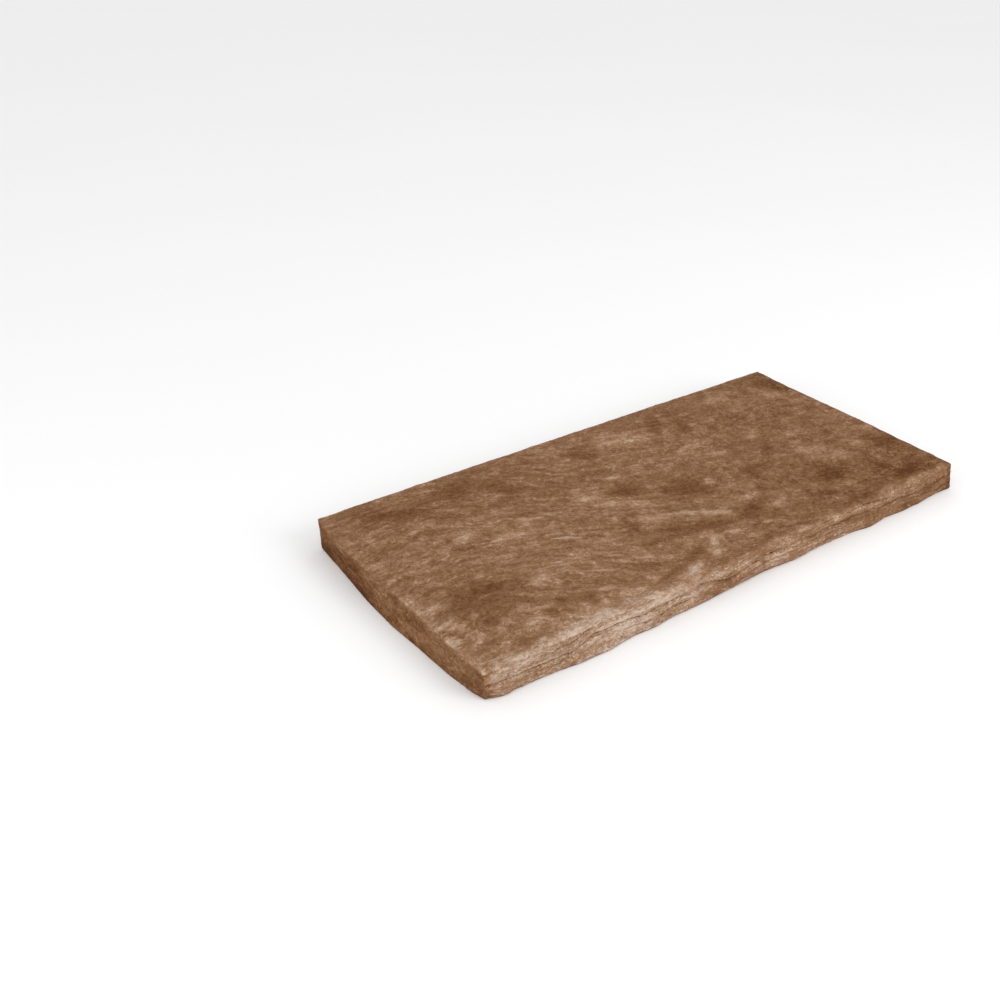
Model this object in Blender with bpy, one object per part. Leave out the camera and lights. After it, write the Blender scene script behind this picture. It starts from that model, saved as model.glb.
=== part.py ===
"""Unfaced glass mineral wool batt: one slab cut from a bonded fibre mat.

Metres, +Z up. The batt lies flat with its underside on z = 0, its length along X and
its width along Y. The origin is the middle of the underside.

The mat is slit to width along its two long sides and chopped to length at its two
ends, so it is one piece of stock with six flat faces. Wool springs back a little
where a blade has passed, so no edge is sharp: the edges along the slit sides roll
over more than the edges of the chopped ends and the four upright corners.
"""

import bmesh
import bpy
from mathutils import Vector

# ---- driving dimensions, metres -------------------------------------------------
LENGTH = 1.250          # along X, between the chopped ends
WIDTH = 0.600           # along Y, between the slit sides
THICKNESS = 0.060       # along Z, free thickness of the mat

TOP_ROLL = 0.006        # edge radius where the top face meets the slit sides
UNDER_ROLL = 0.004      # edge radius where the underside meets the slit sides
END_ROLL = 0.003        # edge radius round the top and underside at the chopped ends
CORNER_ROLL = 0.003     # edge radius of the four upright corners
ROLL_STEPS = 4          # flats across each rolled edge

WOOL_COLOUR = (0.292, 0.162, 0.091, 1.0)
WOOL_ROUGHNESS = 0.95

# The Bevel modifier multiplies its width by each edge's weight.
WIDEST_ROLL = max(TOP_ROLL, UNDER_ROLL, END_ROLL, CORNER_ROLL)


def clear_scene():
    for obj in list(bpy.data.objects):
        bpy.data.objects.remove(obj, do_unlink=True)


def wool_material():
    mat = bpy.data.materials.new("bonded_glass_wool")
    mat.use_nodes = True
    bsdf = mat.node_tree.nodes["Principled BSDF"]
    bsdf.inputs["Base Color"].default_value = WOOL_COLOUR
    bsdf.inputs["Roughness"].default_value = WOOL_ROUGHNESS
    bsdf.inputs["Metallic"].default_value = 0.0
    mat.diffuse_color = WOOL_COLOUR
    return mat


def roll_of(edge):
    """The radius of one of the twelve edges of the plain block."""
    a, b = (v.co for v in edge.verts)
    along = b - a
    middle = (a + b) / 2
    if abs(along.x) > 1e-6:                       # edges along the slit sides
        return TOP_ROLL if middle.z > THICKNESS / 2 else UNDER_ROLL
    if abs(along.y) > 1e-6:                       # top and underside edges of the ends
        return END_ROLL
    return CORNER_ROLL                            # upright corners


def batt_mesh():
    bm = bmesh.new()
    bmesh.ops.create_cube(bm, size=1.0)
    bmesh.ops.scale(bm, vec=Vector((LENGTH, WIDTH, THICKNESS)), verts=bm.verts)
    bmesh.ops.translate(bm, vec=Vector((0.0, 0.0, THICKNESS / 2)), verts=bm.verts)
    weights = bm.edges.layers.float.new("bevel_weight_edge")
    for edge in bm.edges:
        edge[weights] = roll_of(edge) / WIDEST_ROLL
    mesh = bpy.data.meshes.new("batt")
    bm.to_mesh(mesh)
    bm.free()
    return mesh


def build():
    clear_scene()
    batt = bpy.data.objects.new("batt", batt_mesh())
    bpy.context.scene.collection.objects.link(batt)
    batt.data.materials.append(wool_material())

    roll = batt.modifiers.new("rolled_edges", "BEVEL")
    roll.width = WIDEST_ROLL
    roll.offset_type = "OFFSET"
    roll.segments = ROLL_STEPS
    roll.limit_method = "WEIGHT"
    roll.profile = 0.5
    roll.use_clamp_overlap = True

    batt.data.shade_smooth()
    return batt


build()
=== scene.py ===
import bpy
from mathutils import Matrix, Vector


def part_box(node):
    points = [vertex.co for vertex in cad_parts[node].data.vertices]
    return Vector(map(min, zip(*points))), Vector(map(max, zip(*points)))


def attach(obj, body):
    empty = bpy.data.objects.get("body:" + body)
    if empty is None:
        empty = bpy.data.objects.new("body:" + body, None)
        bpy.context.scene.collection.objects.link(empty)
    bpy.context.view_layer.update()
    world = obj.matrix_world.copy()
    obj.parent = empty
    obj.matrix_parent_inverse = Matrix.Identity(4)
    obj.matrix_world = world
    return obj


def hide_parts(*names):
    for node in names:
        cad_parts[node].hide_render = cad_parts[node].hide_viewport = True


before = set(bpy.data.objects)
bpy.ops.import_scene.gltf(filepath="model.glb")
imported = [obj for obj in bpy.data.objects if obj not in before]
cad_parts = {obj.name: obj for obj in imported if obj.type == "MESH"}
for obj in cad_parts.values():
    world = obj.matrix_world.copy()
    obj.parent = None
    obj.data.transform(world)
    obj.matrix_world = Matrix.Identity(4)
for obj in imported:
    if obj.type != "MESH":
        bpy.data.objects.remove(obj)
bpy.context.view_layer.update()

import math

import bpy
import numpy as np
from mathutils import Matrix, Vector

LO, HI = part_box("batt")
HX, HY, T = HI.x, HI.y, HI.z          # half length, half width, thickness


# ---- seeded gradient noise ------------------------------------------------------

class Noise:
    """Gradient noise in two or three dimensions, the same on every run."""

    def __init__(self, seed):
        rng = np.random.default_rng(seed)
        p = rng.permutation(512)
        self.p = np.concatenate([p, p])
        g = rng.normal(size=(512, 3))
        self.g = g / np.linalg.norm(g, axis=1)[:, None]

    def at(self, x, y, z=0.0):
        x, y, z = np.broadcast_arrays(np.asarray(x, float), y, z)
        xi, yi, zi = (np.floor(a).astype(int) for a in (x, y, z))
        fx, fy, fz = x - xi, y - yi, z - zi
        sx, sy, sz = (f * f * f * (f * (f * 6 - 15) + 10) for f in (fx, fy, fz))
        total = np.zeros_like(fx)
        for dx in (0, 1):
            wx = sx if dx else 1 - sx
            for dy in (0, 1):
                wy = sy if dy else 1 - sy
                for dz in (0, 1):
                    wz = sz if dz else 1 - sz
                    k = self.p[self.p[self.p[(xi + dx) & 511] + ((yi + dy) & 511)] + ((zi + dz) & 511)]
                    g = self.g[k]
                    total += wx * wy * wz * (g[..., 0] * (fx - dx) + g[..., 1] * (fy - dy) + g[..., 2] * (fz - dz))
        return total * 1.6

    def fbm(self, x, y, z=0.0, octaves=4, gain=0.5):
        total, amp, norm, f = 0.0, 1.0, 0.0, 1.0
        for k in range(octaves):
            total = total + amp * self.at(x * f + 17.3 * k, y * f - 9.1 * k, z * f + 4.7 * k)
            norm += amp * amp
            amp *= gain
            f *= 2.03
        return total / math.sqrt(norm)


def smooth(a, b, x):
    t = np.clip((x - a) / (b - a), 0, 1)
    return t * t * (3 - 2 * t)


n1, n2, n3, n4, n5, n6 = (Noise(s) for s in (11, 23, 37, 41, 59, 67))


# ---- the lie of the wool on the broad faces --------------------------------------
# x and y in metres. The fibres run roughly along the slab. They climb at the left end,
# sink in long arcs through the left half, and break up into round tufts to the right.

LIE_X = np.array([-0.65, -0.60, -0.50, -0.40, -0.25, -0.10, 0.00, 0.15, 0.30, 0.45, 0.60, 0.65])
LIE_SLOPE = np.array([0.12, 0.08, -0.12, -0.28, -0.34, -0.38, -0.38, -0.32, -0.24, -0.14, 0.00, 0.05])
FINE_X = np.linspace(-0.65, 0.65, 261)
FINE_SLOPE = np.interp(FINE_X, LIE_X, LIE_SLOPE)
RISE = np.concatenate([[0], np.cumsum((FINE_SLOPE[1:] + FINE_SLOPE[:-1]) / 2 * np.diff(FINE_X))])
ARCHES = ((-0.50, -0.13, 0.11, -0.058), (-0.26, -0.12, 0.09, -0.045), (0.06, -0.22, 0.07, -0.028), (-0.46, 0.16, 0.10, -0.022))


def flow(x, y):
    """Coordinates along and across the lie of the fibres."""
    v = y - np.interp(x, FINE_X, RISE)
    v = v + 0.026 * n1.fbm(x / 0.42, y / 0.42, 3.1, 2) + 0.010 * n2.fbm(x / 0.13, y / 0.13, 1.7, 2)
    u = x + 0.030 * n3.fbm(x / 0.35, y / 0.35, 8.3, 2)
    for cx, cy, s, a in ARCHES:
        v = v + a * np.exp(-((x - cx) ** 2 + (y - cy) ** 2) / (2 * s * s))
    return u, v


# Larger tufts and hollows seen on the top face: centre x, y, half lengths, turn in degrees,
# and how much lighter (+) or darker (-) it is there, partly the wool's own tone and partly
# painted light on the raised tufts and painted shade in the hollows. Millimetres.
TUFTS = (
    (-484, 221, 58, 19, -14, -.63), (-535, 262, 36, 24, 0, -.36), (-336, 241, 86, 26, 4, -.44), (-490, -93, 56, 16, -9, -.70),
    (-520, -128, 74, 20, -4, -.45), (-530, -178, 38, 15, 10, -.44), (-498, -265, 38, 12, 10, -.42), (-335, -232, 10, 22, -8, -.50),
    (-395, -218, 36, 14, 20, -.35), (-438, 38, 36, 5, -20, -.36), (-237, 182, 24, 26, 0, -.50), (-30, 28, 28, 24, 0, -.55),
    (-14, 200, 28, 38, 0, -.46), (-108, -76, 32, 16, 50, -.40), (-90, -160, 42, 10, -15, -.42), (-56, -139, 30, 15, -20, -.58),
    (28, -176, 38, 14, -20, -.70), (-75, -236, 30, 9, 20, -.50), (-165, -262, 32, 9, 8, -.46), (83, -36, 56, 38, -25, -.60),
    (90, -275, 24, 10, 0, -.42), (205, 214, 15, 36, -10, -.50), (268, 182, 14, 26, -20, -.45), (240, -82, 9, 30, 5, -.55),
    (275, -55, 30, 12, -15, -.40), (132, -178, 34, 24, 0, -.72), (215, -130, 13, 14, 0, -.35), (355, -8, 18, 18, 0, -.50),
    (381, -168, 43, 37, -10, -.54), (310, -228, 24, 9, -25, -.42), (485, -215, 16, 24, -35, -.45), (512, -260, 44, 18, 0, -.58),
    (590, -140, 34, 26, -20, -.48), (597, 224, 30, 50, 0, -.54), (130, -226, 80, 9, 0, -.28),
    (-424, 68, 34, 12, 12, .60), (-345, 84, 16, 10, 0, .35), (-345, 26, 46, 10, -10, .38), (-280, 50, 18, 13, 0, .42),
    (-573, 168, 15, 9, 0, .45), (39, 10, 20, 11, -25, .42), (-590, -94, 26, 15, 0, .56), (-592, -152, 24, 14, -10, .42),
    (-566, -217, 20, 11, 0, .26), (-382, -132, 24, 22, -10, .60), (-318, -108, 18, 9, -15, .48), (-465, -232, 26, 13, 25, .46),
    (-292, -222, 20, 12, 0, .34), (-124, 50, 32, 16, -8, .52), (-90, 8, 26, 14, -20, .36), (-42, -28, 24, 10, -35, .46),
    (-80, -72, 24, 20, 0, .28), (20, -122, 66, 10, -26, .55), (62, -148, 24, 10, -25, .40), (6, -192, 14, 7, 10, .20),
    (-18, -222, 22, 8, 36, .75), (45, -222, 15, 11, 0, .48), (-108, -278, 20, 9, 24, .90), (-38, -256, 17, 6, 40, .42),
    (-20, 85, 13, 8, 0, .42), (118, 200, 56, 24, -22, .56), (185, 95, 22, 8, 15, .42), (232, 95, 14, 30, -15, .34),
    (238, 34, 20, 10, 0, .40), (135, -45, 16, 12, 0, .70), (165, -78, 16, 16, 0, .32), (158, -136, 24, 10, -25, .42),
    (205, -190, 15, 12, 0, .45), (128, -233, 14, 7, 0, .48), (400, 240, 26, 17, 0, .32), (370, 60, 28, 18, 20, .32),
    (562, 178, 30, 18, -15, .45), (445, 14, 26, 13, 0, .52), (425, -70, 34, 24, -20, .34), (456, -126, 24, 16, 0, .48),
    (535, -112, 18, 16, 0, .48), (598, -72, 16, 20, 0, .64), (375, -225, 15, 20, 0, .30),
)

# The same for the near slit side, in x and z, and the left chopped end, in y and z.
SIDE_TUFTS = (
    (-545, 48, 50, 9, 0, .30), (-590, 18, 18, 10, 20, .35), (-335, 52, 50, 8, 0, .50), (-212, 51, 34, 8, 0, .50),
    (-250, 26, 60, 5, 3, .25), (95, 24, 40, 12, 5, .55), (332, 52, 26, 9, 0, .24), (424, 54, 16, 7, 3, .45),
    (470, 34, 30, 10, 0, .30), (-100, 48, 60, 8, 0, .22),
    (-500, 18, 70, 4, 3, -.45), (-412, 24, 26, 4, 35, -.35), (-390, 36, 24, 3, 10, -.35), (-80, 20, 64, 14, 0, -.42),
    (-115, 43, 16, 5, -20, -.45), (50, 30, 6, 18, 0, -.55), (235, 12, 14, 6, 0, -.50), (300, 37, 38, 7, -3, -.90),
    (412, 34, 22, 5, 0, -.55), (590, 33, 18, 6, 0, -.45), (545, 22, 34, 16, 0, -.34),
)
END_TUFTS = (
    (195, 54, 36, 7, 0, .50), (95, 50, 22, 8, 20, .45), (-50, 55, 24, 5, 0, .10), (-172, 56, 34, 6, 0, .30),
    (-265, 54, 16, 7, 0, .26), (-212, 39, 48, 9, 0, .46), (250, 20, 50, 12, 0, -.35), (-80, 31, 34, 7, 0, -.22),
    (-132, 14, 44, 8, -8, -.36), (-290, 16, 20, 8, 0, -.40), (20, 12, 84, 8, 0, -.32), (112, 36, 40, 10, 0, -.40),
)

# Combed locks seen on the top: middle x, y, heading and bend in degrees, length and
# width in mm, number of strands, and how much paler.
COMBED = (
    (-245, -48, -27, -25, 84, 9, 20, .40), (-255, -178, -32, 25, 84, 5, 16, .30), (-118, -200, 0, 0, 130, 5, 12, .18),
    (-178, -160, -45, 0, 50, 6, 10, .30), (-155, 47, -30, 0, 40, 4, 8, .22), (-435, 5, -25, -15, 60, 6, 12, .20),
    (-552, -86, 25, 0, 50, 5, 10, .20), (-505, -178, 15, 0, 60, 4, 8, .16), (85, 238, -24, 0, 110, 6, 18, .24),
    (205, 192, -40, 0, 40, 4, 8, .20), (25, -80, -30, 0, 60, 5, 12, .18), (-55, -85, -45, 0, 50, 5, 10, .20),
    (15, -116, -22, -16, 90, 6, 18, .22), (160, 60, 62, -15, 80, 7, 12, .16), (-370, -60, -14, -10, 120, 8, 14, .12),
    (-430, 110, -16, 0, 90, 8, 12, .12), (-320, 0, -12, -8, 110, 8, 14, .12), (280, -36, -15, 0, 50, 5, 10, .16),
    (-455, -216, -38, 0, 36, 5, 8, .22), (540, -150, -28, 0, 40, 4, 8, .14), (470, -256, -18, 0, 40, 4, 8, .14),
    (-210, -148, -30, 0, 50, 6, 10, .30), (-18, -221, 35, 0, 52, 6, 12, .22), (-122, -276, 24, 20, 60, 7, 16, .20),
)


def tufts(x, y, rows, ragged=0.010):
    wx = x + ragged * n2.fbm(x / 0.055, y / 0.055, 5.5, 3)
    wy = y + ragged * 0.8 * n3.fbm(x / 0.050, y / 0.050, 2.5, 3)
    total = np.zeros_like(x)
    for cx, cy, rx, ry, deg, amt in rows:
        c, s = math.cos(math.radians(deg)), math.sin(math.radians(deg))
        dx, dy = wx - cx / 1000, wy - cy / 1000
        a, b = (dx * c + dy * s) / (rx / 1000), (-dx * s + dy * c) / (ry / 1000)
        total += amt * np.exp(-0.9 * (a * a + b * b))
    return total


def streaks(x, y, seed):
    """Fibre clumps drawn out along the lie, -1 to 1 or so; rounder towards the right."""
    u, v = flow(x, y)
    drawn = n4.fbm(u / 0.100, v / 0.018, seed, 4, 0.60)
    tufty = n5.fbm(x / 0.045, y / 0.040, seed + 3.3, 4, 0.60)
    k = smooth(-0.40, 0.30, x)
    return drawn * (1 - 0.55 * k) + tufty * (0.25 + 0.55 * k)


# ---- the slab's grid ---------------------------------------------------------------

def spaced(half, margin, fine, coarse):
    """Grid lines from -half to half, closer together near the two ends."""
    edge = np.linspace(0, margin, max(1, round(margin / fine)) + 1)
    inner = np.linspace(-half + margin, half - margin, max(1, round(2 * (half - margin) / coarse)) + 1)
    return np.concatenate([-half + edge[:-1], inner, half - edge[:-1][::-1]])


X = spaced(HX, 0.010, 0.0020, 0.00475)
Y = spaced(HY, 0.016, 0.0020, 0.00475)
Z = np.linspace(0, T, 29)
NX, NY, NZ = len(X) - 1, len(Y) - 1, len(Z) - 1

index = -np.ones((NX + 1, NY + 1, NZ + 1), int)
ii, jj, kk = np.meshgrid(np.arange(NX + 1), np.arange(NY + 1), np.arange(NZ + 1), indexing="ij")
skin = (ii == 0) | (ii == NX) | (jj == 0) | (jj == NY) | (kk == 0) | (kk == NZ)
index[skin] = np.arange(skin.sum())
I, J, K = ii[skin], jj[skin], kk[skin]


def sheet_of(a, flip):
    """Quads of one face of the box, from a 2-D array of vertex numbers."""
    q = np.stack([a[:-1, :-1], a[1:, :-1], a[1:, 1:], a[:-1, 1:]], -1).reshape(-1, 4)
    return q[:, ::-1] if flip else q


FACES = {
    "top": sheet_of(index[:, :, NZ], False), "under": sheet_of(index[:, :, 0], True),
    "front": sheet_of(index[:, 0, :], False), "back": sheet_of(index[:, NY, :], True),
    "left": sheet_of(index[0, :, :], True), "right": sheet_of(index[NX, :, :], False),
}
quads = np.concatenate(list(FACES.values()))

# The plain block with rolled edges: each point is pushed out from an inner core.
flat = np.stack([X[I], Y[J], Z[K]], 1)
TOP_ROLL, UNDER_ROLL = np.array([0.0030, 0.0065, 0.0050]), np.array([0.0024, 0.0030, 0.0022])
roll = np.where(flat[:, 2:] > T / 2, TOP_ROLL, UNDER_ROLL)
to_end = smooth(0.025, 0.005, HX - np.abs(flat[:, 0]))[:, None]
roll = roll + (np.minimum(roll, 0.0020) - roll) * to_end           # tighter at the corners
roll = np.where((flat[:, 1:2] > 0) & (flat[:, 2:] > T / 2), np.minimum(roll, 0.0018), roll)   # and along the far side
mid = np.array([0, 0, T / 2])
half = np.array([HX, HY, T / 2])
core = np.clip(flat - mid, -(half - roll), half - roll)
d = (flat - mid - core) / roll
length = np.linalg.norm(d, axis=1)[:, None]
d = d / np.maximum(length, 1e-9)
rolled = mid + core + d * roll
normal = d / roll
normal /= np.linalg.norm(normal, axis=1)[:, None]

x, y, z = rolled.T
up, out_y, out_x = normal[:, 2], normal[:, 1], normal[:, 0]
w_top = smooth(0.15, 0.9, up)
w_under = smooth(0.3, 0.95, -up)
w_side = smooth(0.25, 0.85, np.abs(out_y))
w_end = smooth(0.25, 0.85, np.abs(out_x))

# ---- relief of the broad faces ------------------------------------------------------
edge_x, edge_y = HX - np.abs(x), HY - np.abs(y)

big = n1.fbm(x / 0.30, y / 0.24, 6.6, 2)
spots = tufts(x, y, TUFTS) * (up > -0.2)
under_spots = 0.42 * n6.fbm(x / 0.11, y / 0.085, 12.5, 3)
st = streaks(x, y, np.where(up > -0.2, 0.7, 21.9))

# how much paler than the rest the top is beside its edges, in tone: partly paler fibres and
# partly a painted highlight on the near edge's roll, turning to painted shade towards its right
RIM_X = np.array([-0.62, -0.55, -0.45, -0.35, -0.25, -0.15, -0.05, 0.10, 0.30, 0.50, 0.62])
CREST = np.array([0.14, 0.30, 0.27, -0.06, 0.11, 0.07, 0.09, 0.20, 0.30, 0.29, 0.30])
GLOW = np.array([0.14, 0.14, 0.32, 0.47, 0.31, 0.13, -0.03, -0.06, -0.10, -0.19, -0.19])
RIM_Y = np.array([-0.30, -0.25, -0.15, -0.05, 0.05, 0.15, 0.25, 0.30])
END_CREST = np.array([0.03, 0.14, 0.44, 0.22, -0.02, -0.02, 0.04, 0.08])

rim = 1.2 * n2.fbm(x / 0.060, y / 0.5, 40.0, 3)                 # the rim is in tufts
near = y < 0
crest = np.where(near, np.interp(x, RIM_X, CREST), 0.02) * (1 + 0.95 * rim)
glow = np.where(near, np.interp(x, RIM_X, GLOW), 0.02) * (1 + 0.50 * n3.fbm(x / 0.11, y / 0.5, 41.0, 2))
wide = 1 + 0.35 * n4.fbm(x / 0.05, y / 0.4, 11.0, 2)
ey, ex = np.maximum(edge_y, 0), np.maximum(edge_x, 0)
glow_band = np.exp(-(ey / ((0.033 + 0.012 * smooth(-0.1, -0.35, x)) * wide)) ** 2)
rim_tone = crest * np.exp(-(ey / ((0.0125 + 0.0045 * smooth(0.15, 0.35, x)) * wide)) ** 2) + glow * glow_band \
    - 0.07 * near * np.exp(-(ey / 0.004) ** 2) * np.exp(-((x + 0.40) / 0.12) ** 2)
# Along the top edge of the left end: partly pale fluff hanging over it, partly a painted highlight where the top rolls
# over towards the light.
end_rim = n5.fbm(y / 0.040, np.sign(x) * 7.7, 2.0, 3)
end_wide = 1 + 0.5 * n1.fbm(y / 0.030, np.sign(x) * 4.1, 6.0, 2)
end_crest = np.where(x < 0, np.interp(y, RIM_Y, END_CREST), 0.01) * np.clip(0.9 + 1.1 * end_rim, 0, 2.2)
end_rim_tone = end_crest * np.exp(-(ex / (0.0150 * end_wide)) ** 2)

cloud = 1.15 * spots + 0.22 * st + 0.22 * n3.fbm(x / 0.17, y / 0.13, 2.2, 3)
cloud = np.where(up > -0.2, cloud, 1.2 * under_spots + 0.3 * st)
tilt = 0.020 - 0.06 * smooth(0.0, 0.5, x) - 0.09 * smooth(0.1, 0.5, x) * smooth(0.0, -0.25, y)
# Top tone: painted light on the tufts and painted shade in the hollows over the wool's own tone, plus the rims' paler
# fibres with their painted highlight.
tone_top = 0.475 + 0.25 * spots + 0.04 * st + tilt + rim_tone + end_rim_tone
tone_under = 0.455 + 0.20 * under_spots + 0.05 * st

h_top = (0.0012 + 0.0016 * big + 0.0030 * spots + 0.0013 * st
         - 0.0006 * np.exp(-np.maximum(edge_y, 0) / 0.04)
         + 0.0040 * np.clip(crest + glow, 0, 0.5) * np.exp(-((edge_y - 0.012) / 0.012) ** 2))
h_under = -np.abs(0.0009 * under_spots + 0.0006 * st)

# ---- relief of the slit sides: the mat's laminae ------------------------------------------
# One deep split wanders along mid height with lips that hang over it, short splits lie
# above and below, and the foot is ragged and undercut.
s_id = np.where(y < 0, 3.3, 47.1)
SPLIT_X = np.array([-0.62, -0.50, -0.44, -0.41, -0.38, -0.30, -0.20, -0.15, -0.115, -0.085, -0.055, 0.0, 0.14, 0.29, 0.34, 0.41, 0.45, 0.52, 0.60])
SPLIT_UP = np.array([0.0, -2.0, 0.0, 10.0, 17.0, 9.0, 14.0, 15.0, 19.0, 11.0, -2.0, 0.0, 12.0, 9.0, 12.0, 5.0, 9.0, 1.0, 5.0])
lips = np.abs(n5.fbm(x / 0.030, s_id, 7.0, 2))
lev = z + 0.0100 * n1.fbm(x / 0.19, s_id, 0.4, 2) + 0.0042 * n4.fbm(x / 0.055, s_id, 9.9, 2) \
    + 0.0024 * (lips - 0.3) + 0.0012 * n2.fbm(x / 0.016, z / 0.02, s_id, 2) \
    - np.interp(x, SPLIT_X, SPLIT_UP) / 1000 * (y < 0)
folds = np.where(y < 0, tufts(x, z, SIDE_TUFTS, 0.004), 0.42 * n6.fbm(x / 0.10, z / 0.022, 77.0, 3))
LEVELS = np.array([-0.02, -0.004, 0.0125, 0.0285, 0.0450, 0.0620, 0.085])
lam = np.interp(lev, LEVELS, np.arange(len(LEVELS), dtype=float))
layer = np.floor(lam)
gap = np.abs(lam - np.round(lam))                         # 0 on a split, 0.5 in mid lamina
which = np.round(lam)
worn = n6.fbm(x / 0.10, which * 7.7, s_id, 2)
split = smooth(-0.05, 0.65, worn)
split = np.where(which == 3, smooth(-0.75, 0.10, worn), split)     # the main split
split = np.where((which < 1.5) | (which > 4.5), 0.0, split)
step = n3.fbm(x / 0.09, layer * 5.3, s_id, 2)
flake = n2.fbm(x / 0.022, z / 0.010, s_id, 3)
foot = 0.0022 + 0.0020 * n4.fbm(x / 0.020, s_id, 3.0, 3)
under_cut = smooth(foot + 0.0012, foot - 0.0022, z)
corner = smooth(0.0, 0.018, HX - np.abs(x))
s_side = corner * (0.0011 * np.sqrt(np.clip(gap * 2, 0, 1)) - 0.0004
          - 0.0034 * split * np.exp(-(gap / 0.11) ** 2)
          + 0.0009 * step + 0.0010 * flake + 0.0019 * folds + 0.0013 * n2.fbm(x / 0.045, z / 0.030, s_id + 9, 3)
          + 0.0010 * np.exp(-((z - foot - 0.0035) / 0.0030) ** 2) * (1 + n5.fbm(x / 0.014, s_id, 8.0, 2))) \
    - (0.0010 + 0.0036 * corner) * under_cut
soft = smooth(0.002, 0.024, HX - np.abs(x) + 0.005 * n6.fbm(z / 0.014, s_id, 4.0, 2))   # no crisp upright corner
# Near slit side: painted shade that deepens towards the right, standing in for light falling off along it; far side: a
# darker tone, uneven at random.
shade_x = np.where(y < 0, 0.36 * smooth(-0.35, 0.62, x), 0.14 + 0.10 * n1.at(x / 0.3, 5.0, 2.0))
uneven = (-0.12 * smooth(0.0545, 0.0595, z) * smooth(0.10, -0.25, x) + 0.12 * smooth(0.028, 0.018, z) * np.exp(-((x - 0.23) / 0.09) ** 2)
          + 0.11 * smooth(0.030, 0.042, z) * smooth(0.38, 0.46, x) + 0.10 * np.exp(-((x + 0.30) / 0.11) ** 2) * smooth(0.052, 0.046, z))
# Painted shade: darker in the undercut at the foot and a little darker just above it.
tone_side = 0.77 + 0.05 * step + 0.07 * flake + uneven * (y < 0) - shade_x \
    + 0.06 * smooth(0.0, 0.4, x) - 0.30 * (1 - soft) + 0.34 * folds + 0.10 * n3.fbm(x / 0.06, z / 0.03, s_id + 5, 2) - 0.35 * under_cut - 0.04 * smooth(0.022, 0.008, z)

# ---- relief of the chopped ends --------------------------------------------------------------
e_id = np.where(x < 0, 5.5, 61.7)
end_folds = np.where(x < 0, tufts(y, z, END_TUFTS, 0.005), 0.42 * n6.fbm(y / 0.06, z / 0.022, 99.0, 3))
s_end = 0.0007 * n4.fbm(y / 0.05, z / 0.008, e_id, 3) + 0.0010 * n1.fbm(y / 0.12, z / 0.03, e_id, 2) \
    + 0.0014 * end_folds - 0.0014 * smooth(0.005, 0.0, z)
# Painted shade darkens the foot of the end; its top band is paler, partly pale fluff and partly a painted highlight.
tone_end = 0.315 + 0.02 * smooth(0.0, -0.1, y) + 0.04 * smooth(0.16, 0.0, y) * smooth(-0.20, -0.02, y) + 0.05 * smooth(0.16, 0.0, y) - 0.11 * smooth(0.02, 0.10, y) * smooth(0.054, 0.044, z) + (0.17 + 0.06 * smooth(0.02, -0.08, y)) * n4.fbm(y / 0.055, z / 0.020, e_id, 3) + 0.11 * n2.fbm(y / 0.11, z / 0.035, e_id, 3) \
    + 0.36 * end_folds + (0.06 + 0.45 * end_crest) * smooth(0.052, 0.061, z) - 0.12 * smooth(0.014, 0.0, z)

disp = w_top * h_top + w_under * h_under + w_side * s_side * (1 - w_top) + w_end * s_end * (1 - w_top)
place = rolled + normal * disp[:, None]
place[:, 2] = np.maximum(place[:, 2], 0.0)

# The slab isn't quite true. Millimetres that its corners are out by, top and underside: it is
# thick at the far left corner and thin at the near left one, and its cut faces lean a little.
OUT_TOP = {(-1, 1): (3.0, 10.5, 5.3), (1, 1): (1.0, 0.5, 1.2), (1, -1): (-3.0, 6.0, 1.2), (-1, -1): (-2.0, -0.2, -4.0)}
OUT_UNDER = {(-1, 1): (-1.0, -3.6, 0.0), (1, 1): (0.0, 0.0, 0.0), (1, -1): (1.4, -2.8, 0.0), (-1, -1): (1.7, -0.1, 0.0)}
height = np.clip(rolled[:, 2:] / T, 0, 1)
for cx, cy in OUT_TOP:
    share = ((1 + cx * x / HX) / 2 * (1 + cy * y / HY) / 2)[:, None]
    if (cx, cy) == (-1, 1):
        share = share ** 1.5
    place += share * (np.array(OUT_TOP[cx, cy]) * height + np.array(OUT_UNDER[cx, cy]) * (1 - height)) / 1000

# Nor are its cut faces flat: the left end bows out, more at its foot than at the top, and the foot
# of the near side wanders. Millimetres out, along y and along x.
BOW_Y = np.array([-0.30, -0.27, -0.20, -0.10, -0.02, 0.08, 0.20, 0.25, 0.30])
BOW_TOP = np.array([0.0, 0.0, 1.0, 1.0, 3.0, 9.0, 9.0, 5.0, 0.0])
BOW_FOOT = np.array([0.0, 8.0, 15.0, 18.0, 22.0, 19.0, 8.0, 4.0, 0.0])
FOOT_X = np.array([-0.618, -0.606, -0.594, -0.578, -0.566, -0.48, -0.44, -0.36, -0.30, -0.245, -0.20, -0.13, -0.05, 0.05, 0.13,
                   0.21, 0.30, 0.355, 0.41, 0.46, 0.52, 0.57, 0.625])
FOOT_OUT = np.array([0.0, 5.0, 9.5, 9.5, 7.0, 9.0, 15.0, 16.0, 9.0, 11.0, 5.0, 6.0, 1.0, -4.0, 1.0,
                     -4.0, -3.0, 6.0, -1.0, 3.0, 1.0, -4.0, -2.0])
h = height[:, 0]
hidden = 3.5 * n4.fbm((x + y) / 0.20, np.sign(x) * 3.1 + np.sign(y) * 8.3, h * 0.5, 2) * smooth(HX + HY, HX + HY - 0.06, np.abs(x) + np.abs(y))
bow = np.where(x < 0, np.interp(y, BOW_Y, BOW_TOP) * h + np.interp(y, BOW_Y, BOW_FOOT) * (1 - h), hidden * (1 - h))
spread_out = np.where(y < 0, np.interp(x, FOOT_X, FOOT_OUT) * (1 - h) ** 1.4, hidden * (1 - h))
place[:, 0] += np.sign(x) * bow / 1000 * smooth(0.14, 0.0, HX - np.abs(x))
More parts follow.
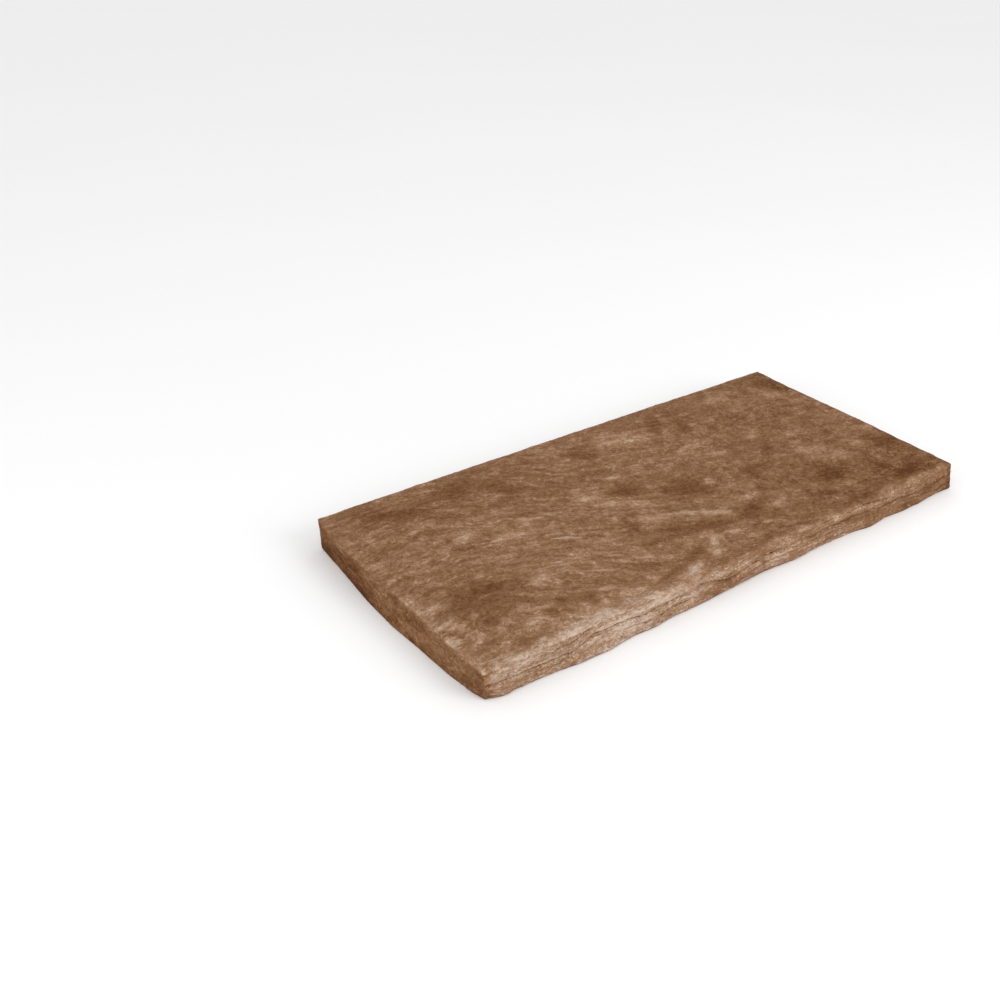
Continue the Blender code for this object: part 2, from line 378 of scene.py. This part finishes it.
place[:, 1] += np.sign(y) * spread_out / 1000 * smooth(0.07, 0.0, HY - np.abs(y))
crown = (1 - (x / HX) ** 2) * smooth(-0.10, HY, y) * np.clip(z / T, 0, 1)
place[:, 2] = np.maximum(place[:, 2] + 0.0030 * crown, 0.0)
w = np.stack([w_top, w_under, w_side * (1 - 0.75 * w_top), w_end * (1 - 0.75 * w_top)], 1)
w /= np.maximum(w.sum(1), 1e-6)[:, None]
tone = w[:, 0] * tone_top + w[:, 1] * tone_under + w[:, 2] * tone_side + w[:, 3] * tone_end

u, v = flow(x, y)


def mesh_of(name, co, faces):
    me = bpy.data.meshes.new(name)
    me.vertices.add(len(co))
    me.vertices.foreach_set("co", co.astype(np.float32).ravel())
    me.loops.add(faces.size)
    me.loops.foreach_set("vertex_index", faces.astype(np.int32).ravel())
    me.polygons.add(len(faces))
    me.polygons.foreach_set("loop_start", np.arange(0, faces.size, faces.shape[1], dtype=np.int32))
    me.polygons.foreach_set("loop_total", np.full(len(faces), faces.shape[1], np.int32))
    me.update(calc_edges=True)
    me.validate()
    me.shade_smooth()
    return me


def attribute(me, name, kind, values):
    a = me.attributes.new(name, kind, "POINT")
    key = "vector" if kind == "FLOAT_VECTOR" else "value"
    a.data.foreach_set(key, np.asarray(values, np.float32).ravel())


wool = mesh_of("batt_wool", place, quads)
attribute(wool, "tone", "FLOAT", tone)
attribute(wool, "lie", "FLOAT_VECTOR", np.stack([u, v, np.where(up > -0.2, 0.0, 0.7)], 1))
attribute(wool, "lam", "FLOAT", lam)
attribute(wool, "split", "FLOAT", split)
attribute(wool, "cloud", "FLOAT", cloud)
attribute(wool, "fold", "FLOAT_VECTOR", np.stack([x, y, np.where(w[:, 2] > w[:, 3], lev, z)], 1))
attribute(wool, "round", "FLOAT", smooth(-0.35, 0.30, x))
attribute(wool, "on_side", "FLOAT", np.clip(np.maximum(w[:, 2], 1.1 * np.clip(glow, 0, 0.5) * glow_band * (up > 0)), 0, 1))
attribute(wool, "on_end", "FLOAT", w[:, 3])


# ---- material ------------------------------------------------------------------------------------

class Nodes:
    """A short way to write a node tree."""

    def __init__(self, tree):
        self.tree = tree

    def new(self, kind, inputs=None, **settings):
        n = self.tree.nodes.new(kind)
        for k, val in settings.items():
            setattr(n, k, val)
        for k, val in (inputs or {}).items():
            if hasattr(val, "is_output") or isinstance(val, bpy.types.NodeSocket):
                self.tree.links.new(val, n.inputs[k])
            else:
                n.inputs[k].default_value = val
        return n

    def math(self, op, a, b=0.0, c=None, clamp=False):
        ins = {0: a, 1: b}
        if c is not None:
            ins[2] = c
        return self.new("ShaderNodeMath", ins, operation=op, use_clamp=clamp).outputs[0]

    def attr(self, name, out="Fac"):
        return self.new("ShaderNodeAttribute", attribute_name=name).outputs[out]

    def scaled(self, vec, sx, sy, sz, shift=(0, 0, 0)):
        return self.new("ShaderNodeMapping", {"Vector": vec, "Scale": (sx, sy, sz), "Location": shift}).outputs[0]

    def noise(self, vec, detail=4.0, rough=0.55, warp=0.0):
        return self.new("ShaderNodeTexNoise", {"Vector": vec, "Scale": 1.0, "Detail": detail, "Roughness": rough,
                                               "Distortion": warp}, noise_dimensions="3D").outputs["Fac"]

    def mix(self, f, a, b):
        return self.new("ShaderNodeMix", {0: f, 2: a, 3: b}, data_type="FLOAT").outputs[0]

    def between(self, val, a, b, c=0.0, d=1.0, kind="SMOOTHSTEP"):
        return self.new("ShaderNodeMapRange", {0: val, 1: a, 2: b, 3: c, 4: d}, interpolation_type=kind).outputs[0]


WOOL = (  # tone, linear colour: from the deepest brown to the palest fluff
    (0.00, (0.084, 0.030, 0.008)),
    (0.15, (0.124, 0.050, 0.018)),
    (0.32, (0.184, 0.087, 0.037)),
    (0.48, (0.235, 0.120, 0.058)),
    (0.62, (0.290, 0.160, 0.087)),
    (0.76, (0.362, 0.226, 0.140)),
    (0.88, (0.445, 0.312, 0.222)),
    (1.00, (0.540, 0.418, 0.330)),
)


def colour_ramp(mat, g, tone, warm=None):
    ramp = g.new("ShaderNodeValToRGB", {"Fac": tone})
    r = ramp.color_ramp
    r.interpolation = "LINEAR"
    r.elements[0].position, r.elements[0].color = WOOL[0][0], (*WOOL[0][1], 1)
    r.elements[1].position, r.elements[1].color = WOOL[-1][0], (*WOOL[-1][1], 1)
    for t, c in WOOL[1:-1]:
        e = r.elements.new(t)
        e.color = (*c, 1)
    colour = ramp.outputs["Color"]
    if warm is not None:
        colour = g.new("ShaderNodeMix", {0: warm, 6: colour, 7: (1.0, 0.96, 0.91, 1)}, data_type="RGBA", blend_type="MULTIPLY").outputs[2]
    mat.node_tree.links.new(colour, mat.node_tree.nodes["Principled BSDF"].inputs["Base Color"])


def matt(bsdf):
    bsdf.inputs["Specular IOR Level"].default_value = 0.06
    bsdf.inputs["Sheen Weight"].default_value = 0.03
    bsdf.inputs["Sheen Roughness"].default_value = 0.6
    bsdf.inputs["Sheen Tint"].default_value = (0.72, 0.52, 0.38, 1)


def strand_material():
    """A strand is one tone, its attribute, a little uneven along it."""
    mat = bpy.data.materials.new("glass_wool_strands")
    mat.use_nodes = True
    g = Nodes(mat.node_tree)
    bsdf = mat.node_tree.nodes["Principled BSDF"]
    pos = g.new("ShaderNodeTexCoord").outputs["Object"]
    n = g.noise(g.scaled(pos, 160, 160, 160), 3.0, 0.7, 0.4)
    tone = g.math("ADD", g.attr("tone"), g.math("MULTIPLY", g.math("SUBTRACT", n, 0.5), 0.5))
    colour_ramp(mat, g, tone)
    mat.node_tree.links.new(g.between(n, 0.3, 0.7, 0.86, 0.96, "LINEAR"), bsdf.inputs["Roughness"])
    matt(bsdf)
    return mat


def wool_material():
    mat = bpy.data.materials.new("glass_wool")
    mat.use_nodes = True
    g = Nodes(mat.node_tree)
    bsdf = mat.node_tree.nodes["Principled BSDF"]
    pos = g.new("ShaderNodeTexCoord").outputs["Object"]
    lie = g.attr("lie", "Vector")
    on_side, on_end = g.attr("on_side"), g.attr("on_end")

    # the wool is folded and swirled at about an inch
    swirl = g.new("ShaderNodeTexNoise", {"Vector": pos, "Scale": 36.0, "Detail": 2.0, "Roughness": 0.6},
                  noise_dimensions="3D").outputs["Color"]

    def swirled(vec, sx, sy, sz, amount):
        w = g.new("ShaderNodeVectorMath", {0: swirl, 1: (0.5, 0.5, 0.5)}, operation="SUBTRACT").outputs[0]
        w = g.new("ShaderNodeVectorMath", {0: w, "Scale": amount}, operation="SCALE").outputs[0]
        w = g.new("ShaderNodeVectorMath", {0: vec, 1: w}, operation="ADD").outputs[0]
        return g.scaled(w, sx, sy, sz)

    # broad faces: feathered locks drawn out along the lie, puffs, and fluff that lies every way
    loose = g.attr("round")
    puff = g.noise(swirled(pos, 34, 34, 34, 0.040), 6.0, 0.72)
    f1 = g.mix(g.math("MULTIPLY", loose, 0.6), g.noise(swirled(lie, 13, 66, 30, 0.030), 5.0, 0.74),
               g.noise(swirled(pos, 44, 44, 44, 0.050), 5.0, 0.74))
    f2 = g.noise(swirled(lie, 54, 140, 60, 0.024), 4.0, 0.74)
    fluff = g.noise(g.scaled(pos, 110, 110, 110), 5.0, 0.84, 0.6)
    grain = g.noise(g.scaled(pos, 330, 330, 330), 2.0, 0.8, 0.2)
    # slit sides: long thin wavy laminae
    fold = g.attr("fold", "Vector")
    s1 = g.noise(swirled(fold, 15, 15, 200, 0.012), 4.0, 0.68)
    s2 = g.noise(swirled(fold, 55, 55, 300, 0.022), 3.0, 0.70)
    s3 = g.noise(swirled(fold, 150, 150, 330, 0.016), 3.0, 0.78)
    # chopped ends: layers along y
    e1 = g.noise(swirled(fold, 80, 27, 150, 0.022), 4.0, 0.74)

    def centred(sock, times):
        return g.math("MULTIPLY", g.math("SUBTRACT", sock, 0.5), times)

    def total(*parts):
        t = parts[0]
        for q in parts[1:]:
            t = g.math("ADD", t, q)
        return t

    # a lock is pale right up to a ragged, feathered outline
    edge = total(g.math("MULTIPLY", g.attr("cloud"), 0.38), centred(f1, 0.95), centred(puff, 0.70), centred(fluff, 0.32))
    lock = g.between(edge, -0.20, 0.20)
    edge2 = total(centred(f2, 1.0), centred(puff, 0.30), centred(fluff, 0.60))
    lock2 = g.between(edge2, -0.16, 0.16)
    broad = total(centred(lock, 0.31), centred(lock2, 0.13), centred(f1, 0.40))

    line = g.between(total(centred(s1, 1.0), centred(fluff, 0.3)), -0.16, 0.12)
    side = total(centred(line, 0.20), centred(s2, 0.70), centred(s3, 1.25), centred(puff, 0.55))
    end = total(centred(e1, 1.15), centred(puff, 0.60), centred(s3, 1.15))
    pattern = g.mix(on_end, g.mix(on_side, broad, side), end)

    # stray wisps: thin pale lines that wander and fade in and out
    def wisps(vec, width, seen_scale, low, high):
        n = g.noise(vec, 2.0, 0.5, 1.4)
        near = g.math("ABSOLUTE", g.math("SUBTRACT", n, 0.5))
        line = g.between(near, width, 0.0)
        seen = g.noise(g.scaled(pos, seen_scale, seen_scale, seen_scale, (3.1, 0.7, 1.9)), 3.0, 0.6)
        return g.math("MULTIPLY", line, g.between(seen, low, high))
    wisp = wisps(g.scaled(lie, 22, 60, 30, (5, 2, 0)), 0.020, 26, 0.50, 0.62)

    relief = total(g.math("MULTIPLY", pattern, 1.1), g.math("MULTIPLY", fluff, 0.50), g.math("MULTIPLY", grain, 0.14),
                   g.math("MULTIPLY", wisp, 0.08))

    lam = g.math("PINGPONG", g.attr("lam"), 0.5)
    wob = g.noise(g.scaled(pos, 60, 60, 220), 4.0, 0.6, 0.0)
    lam = g.math("ADD", lam, g.math("MULTIPLY", g.math("SUBTRACT", wob, 0.5), 0.30))
    # the splits between laminae: their real recess, and painted shade inside it
    crack = g.between(lam, 0.09, 0.01)
    crack = g.math("MULTIPLY", g.math("MULTIPLY", crack, g.attr("split")), g.between(on_side, 0.4, 0.8))

    tone = total(g.attr("tone"), pattern, centred(fluff, 0.85), centred(grain, 0.30), g.math("MULTIPLY", wisp, 0.10))
    # painted shade in the splits
    tone = g.math("SUBTRACT", tone, g.math("MULTIPLY", crack, 0.55))

    colour_ramp(mat, g, tone, on_end)

    high = g.math("SUBTRACT", relief, g.math("MULTIPLY", crack, 0.5))
    bump = g.new("ShaderNodeBump", {"Strength": 0.55, "Distance": 0.0030, "Height": high})
    mat.node_tree.links.new(bump.outputs[0], bsdf.inputs["Normal"])
    rough = g.between(fluff, 0.3, 0.7, 0.86, 0.98, "LINEAR")
    mat.node_tree.links.new(rough, bsdf.inputs["Roughness"])
    matt(bsdf)
    return mat


WOOL_MAT = wool_material()

# The bake's map for the slab: top, slit sides, ends and underside in rows, none overlapping.
uv = np.zeros((len(quads) * 4, 2))
row = np.cumsum([0] + [len(f) * 4 for f in FACES.values()])
fx, fy, fz = (flat[quads.ravel(), k] for k in range(3))
px, py, pz = (fx + HX) / (2 * HX), (fy + HY) / (2 * HY), fz / T
ROWS = {  # a along, b across, and the corner and size of its place on the map
    "top": (px, py, 0.010, 0.010, 0.98, 0.465), "front": (px, pz, 0.010, 0.485, 0.98, 0.048),
    "back": (px, pz, 0.010, 0.543, 0.98, 0.048), "left": (py, pz, 0.010, 0.601, 0.475, 0.048),
    "right": (py, pz, 0.505, 0.601, 0.475, 0.048), "under": (px, py, 0.010, 0.660, 0.98, 0.330),
}
for k, name in enumerate(FACES):
    a, b, cx, cy, sx, sy = ROWS[name]
    r = slice(row[k], row[k + 1])
    uv[r, 0], uv[r, 1] = cx + sx * a[r], cy + sy * b[r]
wool.uv_layers.new(name="OFBake").uv.foreach_set("vector", uv.astype(np.float32).ravel())

batt = bpy.data.objects.new("batt_wool", wool)
bpy.context.scene.collection.objects.link(batt)
wool.materials.append(WOOL_MAT)
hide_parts("batt")
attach(batt, "root")


# ---- wisps: fine tapered strands of wool that lie on the slab and lift off its edges ---------------

smooth_normal = np.zeros_like(place)
q = place[quads]
fn = np.cross(q[:, 2] - q[:, 0], q[:, 3] - q[:, 1])
for k in range(4):
    np.add.at(smooth_normal, quads[:, k], fn)
smooth_normal /= np.maximum(np.linalg.norm(smooth_normal, axis=1), 1e-12)[:, None]


class Sheet:
    """Part of the slab's skin as a grid of vertex numbers, sampled in metres along and across."""

    def __init__(self, numbers):
        self.n = numbers
        p = place[numbers]
        step_a = np.linalg.norm(np.diff(flat[numbers], axis=0), axis=2).mean(1)
        step_b = np.linalg.norm(np.diff(rolled[numbers], axis=1), axis=2).mean(0)
        self.a = np.concatenate([[0], np.cumsum(step_a)])
        self.b = np.concatenate([[0], np.cumsum(step_b)])
        self.p, self.m, self.t = p, smooth_normal[numbers], tone[numbers][..., None]

    def at(self, grid, a, b):
        fa = np.interp(a, self.a, np.arange(len(self.a)))
        fb = np.interp(b, self.b, np.arange(len(self.b)))
        i = np.minimum(fa.astype(int), len(self.a) - 2)
        j = np.minimum(fb.astype(int), len(self.b) - 2)
        da, db = (fa - i)[..., None], (fb - j)[..., None]
        return (grid[i, j] * (1 - da) * (1 - db) + grid[i + 1, j] * da * (1 - db)
                + grid[i, j + 1] * (1 - da) * db + grid[i + 1, j + 1] * da * db)


RINGS = 5


def grow(rng, sheet, count, angle, length, width, lift, fly=0.0, paler=0.05, spread=0.06, lock=1, apart=(0.010, 0.0035), fan=0.0, at=None, bend=None):
    """Strands on a sheet, in locks of so many: their rings, how wide, and how pale. Metres."""
    n = count // lock
    if at is None:
        a0, b0 = rng.uniform(0.004, sheet.a[-1] - 0.004, n), rng.uniform(0.004, sheet.b[-1] - 0.004, n)
    else:
        a0, b0 = np.full(n, at[0]), np.full(n, at[1])
    each = np.repeat(np.arange(n), lock)
    turn0, curl0 = angle(rng, sheet, a0, b0), rng.normal(0, 0.6, n)
    if bend is not None:
        curl0 = np.full(n, bend)
    fan0, pale0, long0 = rng.normal(0, 1, n) * fan, rng.normal(0, spread, n), rng.random(n) ** 1.5
    n = len(each)
    ahead, aside = rng.normal(0, apart[0], n) * (lock > 1), rng.normal(0, apart[1], n) * (lock > 1)
    turn = turn0[each] + fan0[each] * aside / apart[1] + rng.normal(0, 0.10, n)
    a = np.clip(a0[each] + ahead * np.cos(turn0[each]) - aside * np.sin(turn0[each]), 0.003, sheet.a[-1] - 0.003)
    b = np.clip(b0[each] + ahead * np.sin(turn0[each]) + aside * np.cos(turn0[each]), 0.003, sheet.b[-1] - 0.003)
    size = length[0] + (length[1] - length[0]) * np.clip(long0[each] + rng.normal(0, 0.15, n), 0, 1)
    curl = curl0[each] + rng.normal(0, 0.25, n)
    s = np.linspace(-0.5, 0.5, RINGS + 2)
    th = turn[:, None] + curl[:, None] * s * 1.3 + 0.35 * curl[:, None] * np.sin(6 * s + 9 * long0[each][:, None])
    da = np.cumsum(np.cos(th) * size[:, None] / (RINGS + 1), 1)
    db = np.cumsum(np.sin(th) * size[:, None] / (RINGS + 1), 1)
    pa = np.clip(a[:, None] + da - da[:, RINGS // 2 + 1:RINGS // 2 + 2], 0.0005, sheet.a[-1] - 0.0005)
    pb = np.clip(b[:, None] + db - db[:, RINGS // 2 + 1:RINGS // 2 + 2], 0.0005, sheet.b[-1] - 0.0005)
    pos, nor = sheet.at(sheet.p, pa, pb), sheet.at(sheet.m, pa, pb)
    nor /= np.linalg.norm(nor, axis=2)[..., None]
    arch = np.cos(np.pi * s)[None, :] * rng.uniform(lift[0], lift[1], n)[:, None]
    free = np.where(rng.random(n) < fly, rng.uniform(0.001, 0.0045, n), 0.0)
    arch = arch - 0.0004 + free[:, None] * np.clip(s * 2, 0, 1) ** 2
    pos = pos + nor * arch[..., None]
    base = sheet.at(sheet.t, a, b)[..., 0]
    pale = base + paler + pale0[each] + rng.normal(0, spread * 0.5, n)
    return pos, nor, rng.uniform(width[0], width[1], n), pale


def strands(name, grown):
    """One mesh of closed tapered strands, each three-sided and flat to the surface."""
    pos, nor, width, pale = (np.concatenate([g[k] for g in grown]) for k in range(4))
    n, m = pos.shape[0], RINGS
    tan = np.gradient(pos, axis=1)
    tan /= np.maximum(np.linalg.norm(tan, axis=2), 1e-9)[..., None]
    side = np.cross(tan, nor)
    side /= np.maximum(np.linalg.norm(side, axis=2), 1e-9)[..., None]
    out = np.cross(side, tan)
    r = slice(1, m + 1)
    wide = (width[:, None] * np.sin(np.pi * np.linspace(0.17, 0.83, m))[None, :])[..., None]
    ring = np.stack([pos[:, r] - side[:, r] * wide / 2 - out[:, r] * wide * 0.15,
                     pos[:, r] + side[:, r] * wide / 2 - out[:, r] * wide * 0.15,
                     pos[:, r] + out[:, r] * wide * 0.40], 2).reshape(n, m * 3, 3)
    co = np.concatenate([ring, pos[:, :1], pos[:, -1:]], 1)
    co[..., 2] = np.maximum(co[..., 2], 0.0)
    faces, at = [], []
    h, w = 1.0 / (m + 1), 1.0 / 3
    for k in range(m - 1):
        for c in range(3):
            e, f = k * 3 + c, k * 3 + (c + 1) % 3
            faces += [(e, f, f + 3), (e, f + 3, e + 3)]
            l, t = (k + 1) * h, (k + 2) * h
            at += [((l, c * w), (l, (c + 1) * w), (t, (c + 1) * w)), ((l, c * w), (t, (c + 1) * w), (t, c * w))]
    last = (m - 1) * 3
    for c in range(3):
        faces += [(m * 3, (c + 1) % 3, c), (m * 3 + 1, last + c, last + (c + 1) % 3)]
        at += [((0, (c + .5) * w), (h, (c + 1) * w), (h, c * w)), ((1, (c + .5) * w), (1 - h, c * w), (1 - h, (c + 1) * w))]
    faces, at = np.array(faces)[:, ::-1], np.array(at)[:, ::-1]
    per = m * 3 + 2
    allf = (faces[None] + (np.arange(n) * per)[:, None, None]).reshape(-1, 3)
    me = mesh_of(name, co.reshape(-1, 3), allf)
    cols = max(1, int(math.ceil(math.sqrt(n / 2))))
    rows = int(math.ceil(n / cols))
    cell = np.stack([np.arange(n) % cols, np.arange(n) // cols], 1)
    uv = (cell[:, None, None] + 0.10 + 0.80 * at[None]) / np.array([cols, rows])
    me.uv_layers.new(name="OFBake").uv.foreach_set("vector", uv.astype(np.float32).ravel())
    attribute(me, "tone", "FLOAT", np.repeat(pale, per))
    o = bpy.data.objects.new(name, me)
    bpy.context.scene.collection.objects.link(o)
    me.materials.append(STRAND_MAT)
    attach(o, "root")
    return o


STRAND_MAT = strand_material()

top_sheet = Sheet(index[:, :, NZ])
under_sheet = Sheet(index[:, :, 0])
RIM = 11


def belt(a_first, near):
    """The skin from the top, over the edge and down one side."""
    if a_first == "x":
        j0, inward = (0, 1) if near else (NY, -1)
        cols = [index[:, j0 + inward * k, NZ] for k in range(RIM, 0, -1)] + [index[:, j0, k] for k in range(NZ, -1, -1)]
    else:
        i0, inward = (0, 1) if near else (NX, -1)
        cols = [index[i0 + inward * k, :, NZ] for k in range(5, 0, -1)] + [index[i0, :, k] for k in range(NZ, -1, -1)]
    return Sheet(np.stack(cols, 1))


def along_lie(rng, sheet, a, b):
    """The lie of the wool at a place on a broad face; wilder to the right, along the edge in its rim."""
    xx, yy = a - HX, b - HY
    e = 0.004
    _, v0 = flow(xx, yy)
    gx, gy = (flow(xx + e, yy)[1] - v0) / e, (flow(xx, yy + e)[1] - v0) / e
    wild = 0.46 + 0.49 * smooth(-0.35, 0.30, xx)
    in_rim = np.exp(-((HY - np.abs(yy)) / 0.030) ** 2)
    return (np.arctan2(-gx, gy) + rng.normal(0, 1, len(a)) * wild) * (1 - in_rim) + rng.normal(0, 0.2, len(a)) * in_rim


def along(rng, sheet, a, b):
    return rng.normal(0, 0.16, len(a))


def curly(rng, sheet, a, b):
    return rng.normal(0, 0.9, len(a))


def headed(degrees):
    return lambda rng, sheet, a, b: np.full(len(a), math.radians(degrees))


rng = np.random.default_rng(7)
combed = [grow(rng, top_sheet, many, headed(way), (0.55 * long / 1000, 0.80 * long / 1000), (0.0008, 0.0014), (0.0001, 0.0008),
               0.02, paler, 0.03, many, (0.16 * long / 1000, 0.28 * wide / 1000), 0.08,
               (cx / 1000 + HX, cy / 1000 + HY), math.radians(bend))
          for cx, cy, way, bend, long, wide, many, paler in COMBED]
some = sum(len(c[2]) for c in combed)
strands("top_locks", combed + [
    grow(rng, top_sheet, 6600 - some, along_lie, (0.014, 0.060), (0.0007, 0.0014), (0.0000, 0.0007), 0.01, 0.055, 0.055, 11, (0.013, 0.0045), 0.20)])
strands("side_wisps", [
    g for near in (True, False) for g in (
        grow(rng, belt("x", near), 1700, along, (0.020, 0.080), (0.0006, 0.0013), (0.0001, 0.0008), 0.06, 0.03, 0.07, 5, (0.018, 0.0022), 0.05),
        grow(rng, belt("x", near), 500, curly, (0.008, 0.026), (0.0005, 0.0010), (0.0003, 0.0012), 0.20, 0.06, 0.07, 4, (0.004, 0.0020), 0.30),
        grow(rng, belt("y", near), 900, along, (0.014, 0.050), (0.0006, 0.0011), (0.0001, 0.0007), 0.05, 0.03, 0.06, 5, (0.010, 0.0020), 0.10),
        grow(rng, belt("y", near), 200, curly, (0.008, 0.022), (0.0005, 0.0010), (0.0003, 0.0010), 0.15, 0.05, 0.06, 4, (0.004, 0.0020), 0.30),
    )])

# ---- studio ------------------------------------------------------------------------------------

def floor():
    me = bpy.data.meshes.new("studio_floor")
    me.from_pydata([(-20, -20, 0), (20, -20, 0), (20, 20, 0), (-20, 20, 0)], [], [(0, 1, 2, 3)])
    o = bpy.data.objects.new("studio_floor", me)
    bpy.context.scene.collection.objects.link(o)
    mat = bpy.data.materials.new("studio_white")
    mat.use_nodes = True
    g = Nodes(mat.node_tree)
    b = mat.node_tree.nodes["Principled BSDF"]
    n = g.noise(g.scaled(g.new("ShaderNodeTexCoord").outputs["Object"], 0.8, 0.8, 0.8), 2.0, 0.5)
    c = g.new("ShaderNodeMix", {0: n, 6: (0.90, 0.90, 0.90, 1), 7: (0.92, 0.92, 0.92, 1)}, data_type="RGBA")
    mat.node_tree.links.new(c.outputs[2], b.inputs["Base Color"])
    b.inputs["Roughness"].default_value = 0.9
    b.inputs["Specular IOR Level"].default_value = 0.1
    me.materials.append(mat)
    o.location.z = -0.0003


floor()

world = bpy.data.worlds.new("studio")
bpy.context.scene.world = world
world.use_nodes = True
bg = world.node_tree.nodes["Background"]
bg.inputs["Color"].default_value = (1.0, 1.0, 1.0, 1)
bg.inputs["Strength"].default_value = 0.92


def softbox(name, toward, distance, size, power):
    """An area light that shines from that direction at the batt."""
    light = bpy.data.lights.new(name, "AREA")
    light.shape, light.size, light.size_y = "RECTANGLE", size, size
    light.energy = power
    o = bpy.data.objects.new(name, light)
    bpy.context.scene.collection.objects.link(o)
    way = Vector(toward).normalized()
    o.location = way * distance + Vector((0, 0, 0.03))
    o.rotation_mode = "QUATERNION"
    o.rotation_quaternion = (-way).to_track_quat("-Z", "Y")
    return o


softbox("key", (0.35, -0.80, 0.50), 4.5, 2.4, 76.0)
softbox("fill", (-0.95, -0.05, 0.30), 4.5, 2.4, 34.0)

# ---- camera: where the photograph was taken from ------------------------------------------------

AZ, EL, ROLL_DEG = math.radians(-34.58), math.radians(30.58), math.radians(-0.657)
back = Vector((math.sin(AZ) * math.cos(EL), -math.cos(AZ) * math.cos(EL), math.sin(EL)))
right = (-back).cross(Vector((0, 0, 1))).normalized()
upward = right.cross(-back)
c, s = math.cos(ROLL_DEG), math.sin(ROLL_DEG)
r2, u2 = c * right + s * upward, -s * right + c * upward
cam_data = bpy.data.cameras.new("camera")
cam_data.sensor_width = 36.0
cam_data.lens = 1231.5 / 1000 * 36.0
cam_data.clip_start, cam_data.clip_end = 0.05, 100
cam = bpy.data.objects.new("camera", cam_data)
bpy.context.scene.collection.objects.link(cam)
m = Matrix((r2, u2, back)).transposed().to_4x4()
m.translation = Vector((-1.5382, -1.6789, 1.3798))
cam.matrix_world = m
bpy.context.scene.camera = cam

bpy.context.scene.view_settings.view_transform = "Standard"
